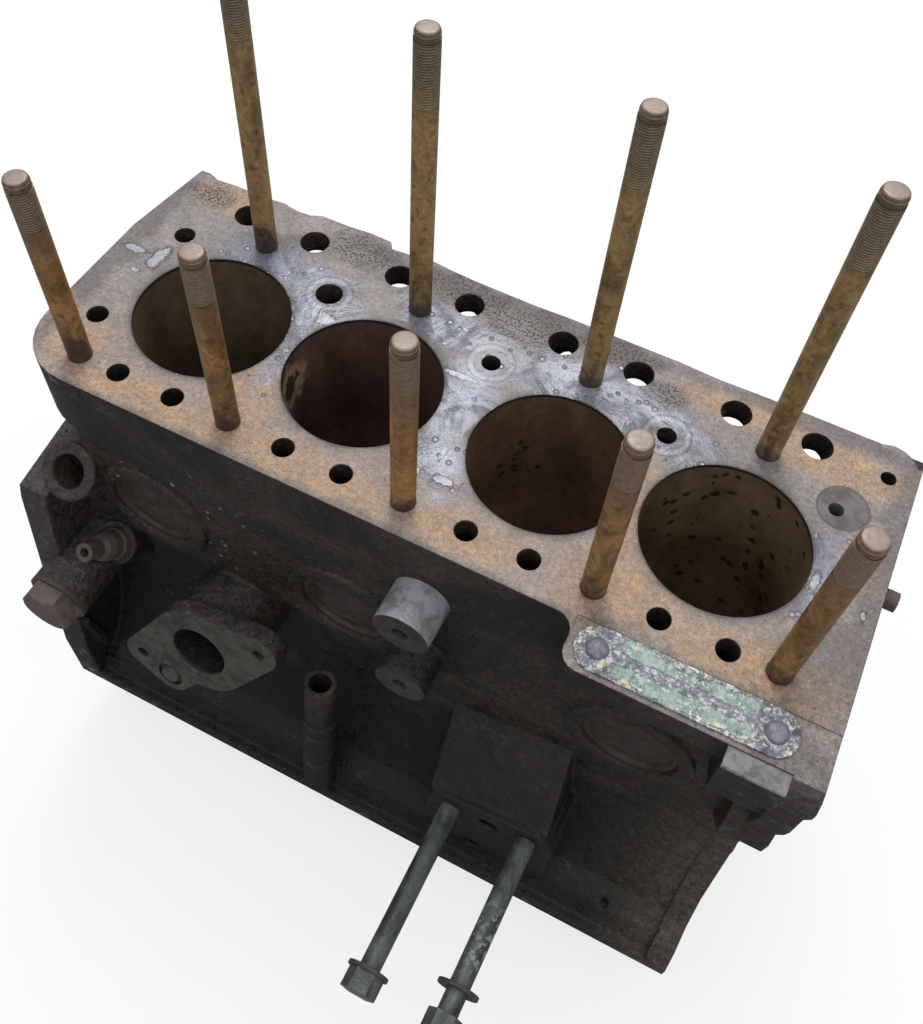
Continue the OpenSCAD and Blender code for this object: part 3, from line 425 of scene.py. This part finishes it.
def stud_look(name, low, high, worn, change):
    """Rusted studs: dark foot, golden shank, dull threads above the height change (m), worn tips."""
    k = Look(name, 0.5, specular=0.5)
    mottle = k.noise(80, 6, 0.7, 0.5, k.stretch((1, 1, 0.6)))
    fine = k.noise(520, 4, 0.7)
    colour = k.mix(k.step(mottle, 0.36, 0.64), low, high)
    colour = k.mix(k.step(k.noise(230, 4, 0.6), 0.52, 0.68, 0, 0.6), colour, shade(low, 0.35))
    blend = k.plus(k.axis("Z"), k.times(mottle, 0.06))
    colour = k.mix(k.step(blend, change + 0.022, change + 0.042, 0, 0.8), colour, worn)
    colour = k.mix(k.step(blend, 0.048, 0.032, 0, 0.85), colour, (0.040, 0.033, 0.031))
    colour = k.tint(colour, fine, 0.75, 1.22)
    tip = k.mix(fine, (0.19, 0.150, 0.125), (0.42, 0.33, 0.275))
    colour = k.mix(k.up(0.6, 0.9), colour, tip)
    k.bump(fine, 0.25, 0.7)
    k.bump(mottle, 0.3, 0.5)
    return k.done(colour, k.spread(mottle, 0.36, 0.60), 0.25)


def rusty(name, base, spot, rough=0.55):
    """Small rusty steel piece."""
    k = Look(name, rough, specular=0.4)
    k.round_edges(0.6)
    mottle = k.noise(130, 6, 0.7, 0.5)
    colour = k.mix(k.step(mottle, 0.4, 0.66), base, spot)
    colour = k.mix(k.times(k.edges(), 0.4), colour, shade(spot, 1.7))
    k.bump(k.noise(420, 4, 0.65), 0.25, 0.7)
    k.bump(mottle, 0.5, 0.5)
    return k.done(colour, k.spread(mottle, rough - 0.12, rough + 0.12))


# Middle of the number plate in metres
PLATE_X, PLATE_Y = 0.1182, -0.0632


def plate_paint():
    """Pale green paint worn to grey metal along the middle and the rim, with cream flakes by the screws."""
    k = Look("plate_green_flaking", 0.45)
    k.round_edges(0.3)
    wear = k.noise(150, 7, 0.75, 0.3)
    fine = k.noise(620, 5, 0.75)
    band = k.math("ABSOLUTE", k.minus(k.axis("Y"), PLATE_Y))
    ends = k.math("ABSOLUTE", k.minus(k.axis("X"), PLATE_X))
    slant = k.minus(k.axis("Y"), k.times(k.axis("X"), 0.03))
    bare = k.plus(k.step(band, 0.0032, 0.0014, 0, 0.24), k.step(band, 0.0066, 0.0086, 0, 0.22))
    bare = k.plus(bare, k.step(ends, 0.0225, 0.0265, 0, 0.42))
    bare = k.plus(bare, k.step(slant, -0.0630, -0.0600, 0, 0.08))
    paint = k.step(k.minus(wear, bare), 0.27, 0.38)
    grey = k.mix(k.step(fine, 0.3, 0.7), (0.105, 0.108, 0.122), (0.29, 0.30, 0.335))
    green = k.mix(k.step(wear, 0.40, 0.62), (0.165, 0.235, 0.203), (0.310, 0.405, 0.362))
    colour = k.mix(paint, grey, green)
    scuffs = k.times(k.step(fine, 0.53, 0.58), k.step(wear, 0.44, 0.60, 1.0, 0.35))
    colour = k.mix(scuffs, colour, (0.55, 0.58, 0.56))
    colour = k.mix(k.step(fine, 0.44, 0.34, 0, 0.75), colour, (0.045, 0.050, 0.048))
    flakes = k.step(k.noise(230, 4, 0.65, 0.6, k.stretch((1, 1, 1), (2.3, 0, 0))), 0.55, 0.58)
    near_screw = k.step(ends, 0.022, 0.030)
    flakes = k.times(flakes, k.math("MAXIMUM", near_screw, k.step(band, 0.0050, 0.0070, 0, 0.9)))
    cream = k.mix(k.step(k.noise(90, 2), 0.4, 0.6), (0.74, 0.73, 0.66), (0.66, 0.57, 0.34))
    colour = k.mix(flakes, colour, cream)
    dirt = k.times(near_screw, k.step(wear, 0.54, 0.62, 0, 0.8))
    colour = k.mix(k.times(dirt, k.minus(1.0, flakes)), colour, (0.060, 0.058, 0.060))
    k.bump(k.plus(paint, flakes), 0.25, 0.9)
    k.bump(fine, 0.16, 0.7)
    return k.done(colour, k.spread(wear, 0.34, 0.60))


def greasy(name):
    """Steel bolts under blue-grey grease, with pale blobs of it near their heads."""
    k = Look(name, 0.28)
    smear = k.noise(60, 5, 0.6, 0.8, k.stretch((1, 0.4, 1)))
    fine = k.noise(260, 4, 0.7)
    colour = k.mix(k.step(smear, 0.38, 0.62), (0.030, 0.033, 0.034), (0.105, 0.118, 0.115))
    wet = k.times(k.step(k.axis("Y"), -0.110, -0.122), k.step(k.axis("Y"), -0.150, -0.140))
    wet = k.times(wet, k.step(k.axis("X"), 0.07, 0.075))
    thick = k.plus(wet, k.step(smear, 0.56, 0.66, 0, 0.5))
    blobs = k.math("MULTIPLY", k.step(fine, 0.50, 0.60), thick, clamp=True)
    colour = k.mix(k.times(blobs, 0.7), colour, (0.36, 0.40, 0.38))
    k.bump(smear, 0.9, 0.6)
    k.bump(fine, 0.5, 0.8)
    return k.done(colour, k.spread(smear, 0.10, 0.40))


def plain(name, colour, rough, metal=0.0):
    """Clean metal with a faint tone."""
    k = Look(name, rough, metal)
    k.round_edges(0.5)
    tone = k.noise(140, 5, 0.65)
    k.bump(k.noise(500, 3, 0.6), 0.08, 0.6)
    return k.done(k.mix(tone, shade(colour, 0.6), shade(colour, 1.3)),
                  k.spread(tone, rough - 0.08, rough + 0.1))


LOOKS = {
    "casting": oily_casting(),
    "deck": ground_deck(),
    "bore_1": bore_wall("bore_rust_1", (0.175, 0.118, 0.074), -0.03),
    "bore_2": bore_wall("bore_rust_2", (0.140, 0.076, 0.058), -0.20, scab=(-72.5, -6, -18)),
    "bore_3": bore_wall("bore_rust_3", (0.225, 0.130, 0.080), 0.02),
    "bore_4": bore_wall("bore_rust_4", (0.205, 0.138, 0.076), 0.14),
    "machined": turned_iron("iron_machined", (0.24, 0.225, 0.235), (0.12, 0.11, 0.105)),
    "boss_side": turned_iron("iron_boss_side", (0.36, 0.345, 0.365), (0.19, 0.18, 0.185), 0.40),
    "end_face": turned_iron("iron_end_face", (0.074, 0.067, 0.061), (0.052, 0.046, 0.041), 0.48),
    "boss_end": turned_iron("iron_boss_end", (0.052, 0.042, 0.038), (0.030, 0.025, 0.023), 0.5),
    "seat": turned_iron("iron_seat", (0.072, 0.073, 0.058), (0.036, 0.036, 0.029), 0.5),
    "stud_near": stud_look("stud_rust_near", (0.21, 0.105, 0.036), (0.44, 0.235, 0.080),
                           (0.175, 0.118, 0.078), 0.058),
    "stud_far": stud_look("stud_rust_far", (0.22, 0.145, 0.062), (0.45, 0.29, 0.125),
                          (0.135, 0.105, 0.066), 0.104),
    "plug": rusty("plug_rust", (0.030, 0.025, 0.022), (0.085, 0.050, 0.036)),
    "pink_rust": rusty("rust_pale", (0.085, 0.068, 0.064), (0.16, 0.115, 0.10)),
    "paint": plate_paint(),
    "screw": turned_iron("steel_domed", (0.25, 0.25, 0.30), (0.12, 0.118, 0.13), 0.35, 0.3),
    "plug_steel": turned_iron("steel_turned", (0.140, 0.130, 0.130), (0.105, 0.086, 0.078), 0.55),
    "grease": greasy("bolt_grease"),
    "dark_steel": rusty("steel_dark", (0.05, 0.045, 0.042), (0.10, 0.075, 0.060)),
    "cap_iron": rusty("casting_cap", (0.045, 0.038, 0.032), (0.10, 0.075, 0.055)),
    "white_metal": plain("white_metal", (0.42, 0.42, 0.43), 0.3, 0.8),
}


# Meshes


def new_piece(name, mesh, look, replaced):
    """A piece on the one body, which takes the place of some CAD nodes."""
    piece = bpy.data.objects.new(name, mesh)
    scene.collection.objects.link(piece)
    if look:
        mesh.materials.clear()
        mesh.materials.append(LOOKS[look])
    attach(piece, "root")
    for node in replaced:
        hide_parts(node)


def dress(node, look):
    """Gives a CAD node its material."""
    piece = nodes[node]
    piece.data.materials.clear()
    piece.data.materials.append(LOOKS[look])


SEGMENTS = 32
ROWS_PER_PITCH = 4
# Edges sharper than this (radians) stay sharp, on small pieces and on the casting
SMALL_ANGLE, CASTING_ANGLE = 0.6, 0.3
WELD = 1e-6


def lathe(bm, rows, place, twist=0.0):
    """Surface of revolution about Z; rows hold radius and height in mm, closed at both ends.
    twist is the rise in mm of a row over one turn, for threads."""
    low, high = rows[0][1], rows[-1][1]
    rings = []
    for r, z in rows:
        ring = []
        for i in range(SEGMENTS):
            a = 2 * math.pi * i / SEGMENTS
            height = min(max(z + twist * i / SEGMENTS, low), high) if twist else z
            point = Vector((r * MM * math.cos(a), r * MM * math.sin(a), height * MM))
            ring.append(bm.verts.new(place @ point))
        rings.append(ring)
    last = len(rings) - 1
    for row, (a, b) in enumerate(zip(rings, rings[1:])):
        for i in range(SEGMENTS):
            j = (i + 1) % SEGMENTS
            if not twist or j:
                bm.faces.new((a[i], a[j], b[j], b[i]))
                continue
            # After one turn of a thread, a row meets the one that is a pitch higher
            low_end = rings[min(row + ROWS_PER_PITCH, last)][0]
            high_end = rings[min(row + 1 + ROWS_PER_PITCH, last)][0]
            if low_end == high_end:
                bm.faces.new((a[i], low_end, b[i]))
            else:
                bm.faces.new((a[i], low_end, high_end, b[i]))
    bm.faces.new(rings[-1])
    bm.faces.new(rings[0][::-1])


def thread_rows(z0, z1, root, crest, pitch):
    """Rows of a thread with flat roots and crests, four to a pitch."""
    rows, z = [], z0
    while z <= z1:
        rows.append(((root, crest, crest, root)[len(rows) % ROWS_PER_PITCH], z))
        z += pitch / ROWS_PER_PITCH
    return rows


def finish_mesh(bm, name, smooth_angle):
    """Turns the bmesh into a smooth-shaded mesh with its sharp edges marked."""
    bmesh.ops.recalc_face_normals(bm, faces=bm.faces)
    mesh = bpy.data.meshes.new(name)
    bm.to_mesh(mesh)
    bm.free()
    if "custom_normal" in mesh.attributes:
        mesh.attributes.remove(mesh.attributes["custom_normal"])
    mesh.polygons.foreach_set("use_smooth", [True] * len(mesh.polygons))
    mesh.set_sharp_from_angle(angle=smooth_angle)
    return mesh


# Casting: the block's own faces, sorted by how they were finished

# Share of a normal along a direction, for a face that looks that way, leans that way or stands upright to it
LOOKS_THERE, LEANS_THERE, UPRIGHT = 0.9, 0.5, 0.2
# Places in mm: the deck, the bores, and the step at the number plate
DECK_SKIN = 0.4
BORE_END, BORE_SLACK = -139.5, 0.6
STEP_BLOCK_X, STEP_BLOCK_Y, STEP_BLOCK_Z = (139.2, 159.6), -73, (-3, -0.5)
# The two bracket bosses: their faces, and the side of the upper one
BOSS_X, BOSSES_MID_Z, BOSSES_REACH, BOSS_FACE_Y = 16, -61.5, 40, -73.5
UPPER_BOSS_Z, UPPER_BOSS_R, WALL_Y = -37.5, (11, 12.6), -57.5
# The distributor seat's inclined face, the two end faces and the oil pan rail
SEAT_FACE, SEAT_TILT = (-76.3, -91, -115.1), math.radians(15)
SEAT_OUT = Vector((0, -math.cos(SEAT_TILT), math.sin(SEAT_TILT)))
ON_SEAT, SEAT_SLACK = 0.99, 1
END_X, END_SLACK, RAIL_Z = 170.5, 0.2, -228.8
# Upper inner edge of the tappet chest windows, and how far it rises at the wall's face
WINDOW_X, WINDOW_Y, WINDOW_Z, WINDOW_RISE = (15.9, 138.3), 65.0, (-29, -20), 7.7
WINDOW_SLACK_Y, WINDOW_SLACK_Z = 0.05, 0.1
FINISHES = ["casting", "deck", "bore_1", "bore_2", "bore_3", "bore_4", "machined", "seat", "end_face",
            "boss_end", "boss_side"]


def finish_of(centre, normal):
    """Name of the look for a face of the casting, by where it is (mm) and how it faces."""
    x, y, z = centre
    if z > -DECK_SKIN and normal.z > LOOKS_THERE:
        return "deck"
    if (STEP_BLOCK_X[0] < x < STEP_BLOCK_X[1] and y < STEP_BLOCK_Y
            and STEP_BLOCK_Z[0] < z < STEP_BLOCK_Z[1] and normal.z > LEANS_THERE):
        return "machined"
    for i, bore_x in enumerate(BORE_XS):
        off_wall = abs(math.hypot(x - bore_x, y) - BORE_R)
        if z > BORE_END and off_wall < BORE_SLACK and abs(normal.z) < UPRIGHT:
            return "bore_%d" % (i + 1)
    from_bosses = math.hypot(x - BOSS_X, z - BOSSES_MID_Z)
    if y < BOSS_FACE_Y and normal.y < -LOOKS_THERE and from_bosses < BOSSES_REACH:
        return "boss_end"
    if y < WALL_Y and UPPER_BOSS_R[0] < math.hypot(x - BOSS_X, z - UPPER_BOSS_Z) < UPPER_BOSS_R[1]:
        return "boss_side"
    off_seat = abs((Vector(centre) - Vector(SEAT_FACE)).dot(SEAT_OUT))
    if normal.dot(SEAT_OUT) > ON_SEAT and off_seat < SEAT_SLACK:
        return "seat"
    if abs(abs(x) - END_X) < END_SLACK and abs(normal.x) > LOOKS_THERE:
        return "end_face"
    if z < RAIL_Z and normal.z < -LOOKS_THERE:
        return "end_face"
    return "casting"


def open_windows(bm):
    """Slopes the upper inner edge of the windows, so that daylight reaches the pushrod holes."""
    low, high = WINDOW_Z
    for vert in bm.verts:
        x, y, z = (c / MM for c in vert.co)
        if (abs(y - WINDOW_Y) < WINDOW_SLACK_Y and low - WINDOW_SLACK_Z < z < high + WINDOW_SLACK_Z
                and WINDOW_X[0] < abs(x) < WINDOW_X[1]):
            vert.co.z += WINDOW_RISE * MM * (z - low) / (high - low)


def casting():
    """The casting in a mesh of its own, each face with its material."""
    bm = bmesh.new()
    bm.from_mesh(nodes["engine_block"].data)
    bmesh.ops.remove_doubles(bm, verts=bm.verts, dist=WELD)
    open_windows(bm)
    for face in bm.faces:
        centre = [c / MM for c in face.calc_center_median()]
        face.material_index = FINISHES.index(finish_of(centre, face.normal))
    mesh = finish_mesh(bm, "block_casting", CASTING_ANGLE)
    for look in FINISHES:
        mesh.materials.append(LOOKS[look])
    new_piece("block_casting", mesh, None, ["engine_block"])


casting()


# Studs with rolled threads and their turned-down tips

# Depth of the foot in the deck, and how far the shank takes to slope in to the thread's core
STUD_FOOT, CORE_SLOPE = -1.0, 0.8
STUD_R, THREAD_ROOT, THREAD_CORE, THREAD_PITCH = 4.75, 4.5, 4.42, 1.06
# The turned-down tip, from the end of the thread upwards, and its rounded end, from the top down
TIP_H = 4.0
TIP_FOOT = [(THREAD_ROOT, -1.5), (4.55, 0.0), (4.6, 2.2), (4.3, 2.5), (4.45, 2.8)]
TIP_END = [(4.2, -0.5), (3.7, -0.1), (3.1, 0.0)]
# Each row: its line in Y, its places in X, its height and its length of thread
NEAR_ROW = (-42.0, (-144.9, -76.0, 0.0, 76.0, 144.9), 90, 18)
FAR_ROW = (45.0, (-113.7, -38.8, 38.8, 113.7), 132, 26)


def stud_row(name, row, look, replaced):
    """One row of studs as one piece, each with a shank, a thread over a core, and a tip."""
    bm = bmesh.new()
    y, places, height, thread = row
    top = height - TIP_H
    start = top - thread
    for x in places:
        place = Matrix.Translation((x * MM, y * MM, 0))
        lathe(bm, [(STUD_R, STUD_FOOT), (STUD_R, start), (THREAD_CORE, start + CORE_SLOPE),
                   (THREAD_CORE, start + 2 * THREAD_PITCH)], place)
        lathe(bm, thread_rows(start, top, THREAD_ROOT, STUD_R, THREAD_PITCH), place, twist=THREAD_PITCH)
        lathe(bm, [(r, top + z) for r, z in TIP_FOOT] + [(r, height + z) for r, z in TIP_END], place)
    new_piece(name, finish_mesh(bm, name, SMALL_ANGLE), look, [replaced])


stud_row("studs_near", NEAR_ROW, "stud_near", "short_head_studs")
stud_row("studs_far", FAR_ROW, "stud_far", "long_head_studs")

# The other nodes keep their own mesh and get a look

NODE_LOOKS = {
    "plug": ["core_plug_rear", "core_plug_middle", "core_plug_front"],
    "plug_steel": ["deck_plug", "relief_valve_plunger", "oil_gallery_plugs"],
    "paint": ["number_plate"],
    "screw": ["plate_drive_screws"],
    "pink_rust": ["relief_valve_cap", "drain_tap", "water_pump_stud"],
    "dark_steel": ["relief_valve_washer", "filter_bolt_washers", "main_cap_bolts", "main_cap_lock_washers"],
    "seat": ["distributor_seat_plug"],
    "grease": ["filter_bolts"],
    "cap_iron": ["main_cap_front", "main_cap_centre", "main_cap_rear"],
    "white_metal": ["cam_bearing_front", "cam_bearing_centre", "cam_bearing_rear"],
}
for look, dressed in NODE_LOOKS.items():
    for node in dressed:
        dress(node, look)


# Floor, light and camera

# Half the floor's side in metres
FLOOR_REACH = 4.0
# Tone of the floor as the light sees it and as the camera sees it, and its share of glow for the camera
FLOOR_LIT, FLOOR_SEEN, FLOOR_GLOW = 0.28, 0.9, 0.72
FLOOR_ROUGH = 0.9
SKY_COLOUR, SKY_LOW, SKY_HIGH = (0.95, 0.97, 1.0, 1), 0.04, 1.25
WHITE = (1, 1, 1, 1)
LIGHT_AIM = (0, 0, -0.05)
# Solved from the holes and bores of the deck
CAMERA_AT, CAMERA_TURN = (0.09920, -0.23019, 0.33629), (0.605817, -0.0566086, 0.4585052)
LENS_MM, SENSOR_MM, LENS_SHIFT = 37.941, 36.0, (-0.00859, -0.05374)
LENS_NEAR, LENS_FAR = 0.01, 20


def shadow_floor():
    """Pale floor under the part: dull for the light, bright for the camera."""
    mesh = bpy.data.meshes.new("floor")
    size, z = FLOOR_REACH, cad_low.z
    corners = [(-size, -size, z), (size, -size, z), (size, size, z), (-size, size, z)]
    mesh.from_pydata(corners, [], [(0, 1, 2, 3)])
    floor = bpy.data.objects.new("floor", mesh)
    scene.collection.objects.link(floor)
    mat = bpy.data.materials.new("floor_pale")
    mat.use_nodes = True
    n, links = mat.node_tree.nodes, mat.node_tree.links
    paint = n["Principled BSDF"]
    paint.inputs["Roughness"].default_value = FLOOR_ROUGH
    path = n.new("ShaderNodeLightPath")
    glow, mixed = n.new("ShaderNodeEmission"), n.new("ShaderNodeMixShader")
    tone = n.new("ShaderNodeMapRange")
    tone.inputs["To Min"].default_value, tone.inputs["To Max"].default_value = FLOOR_LIT, FLOOR_SEEN
    links.new(path.outputs["Is Camera Ray"], tone.inputs[0])
    links.new(tone.outputs[0], paint.inputs["Base Color"])
    share = n.new("ShaderNodeMath")
    share.operation = "MULTIPLY"
    share.inputs[1].default_value = FLOOR_GLOW
    links.new(path.outputs["Is Camera Ray"], share.inputs[0])
    links.new(share.outputs[0], mixed.inputs[0])
    links.new(paint.outputs[0], mixed.inputs[1])
    links.new(glow.outputs[0], mixed.inputs[2])
    links.new(mixed.outputs[0], n["Material Output"].inputs["Surface"])
    mesh.materials.append(mat)


def soft_light(name, place, size, watts):
    data = bpy.data.lights.new(name, "AREA")
    data.shape, data.size, data.energy = "DISK", size, watts
    lamp = bpy.data.objects.new(name, data)
    lamp.location = place
    lamp.rotation_euler = (Vector(LIGHT_AIM) - Vector(place)).to_track_quat("-Z", "Y").to_euler()
    scene.collection.objects.link(lamp)


def studio_world():
    """Sky that is brighter overhead, and plain white for the camera."""
    world = bpy.data.worlds.new("studio")
    scene.world = world
    world.use_nodes = True
    n, links = world.node_tree.nodes, world.node_tree.links
    sky = n["Background"]
    sky.inputs[0].default_value = SKY_COLOUR
    height, rise = n.new("ShaderNodeSeparateXYZ"), n.new("ShaderNodeMapRange")
    links.new(n.new("ShaderNodeTexCoord").outputs["Generated"], height.inputs[0])
    links.new(height.outputs["Z"], rise.inputs[0])
    set_range(rise, 0.0, 1.0, SKY_LOW, SKY_HIGH)
    links.new(rise.outputs[0], sky.inputs[1])
    white, mixed = n.new("ShaderNodeBackground"), n.new("ShaderNodeMixShader")
    path = n.new("ShaderNodeLightPath")
    white.inputs[0].default_value = WHITE
    links.new(path.outputs["Is Camera Ray"], mixed.inputs[0])
    links.new(sky.outputs[0], mixed.inputs[1])
    links.new(white.outputs[0], mixed.inputs[2])
    links.new(mixed.outputs[0], n["World Output"].inputs["Surface"])


def photo_camera():
    lens = bpy.data.cameras.new("camera")
    lens.lens, lens.sensor_width = LENS_MM, SENSOR_MM
    lens.shift_x, lens.shift_y = LENS_SHIFT
    lens.clip_start, lens.clip_end = LENS_NEAR, LENS_FAR
    camera = bpy.data.objects.new("camera", lens)
    camera.location = CAMERA_AT
    camera.rotation_euler = CAMERA_TURN
    scene.collection.objects.link(camera)
    scene.camera = camera


shadow_floor()
soft_light("key", (-0.35, 0.90, 1.5), 0.9, 15)
soft_light("fill", (0.9, -1.0, 1.2), 1.0, 2)
studio_world()
photo_camera()
scene.view_settings.view_transform = "Standard"
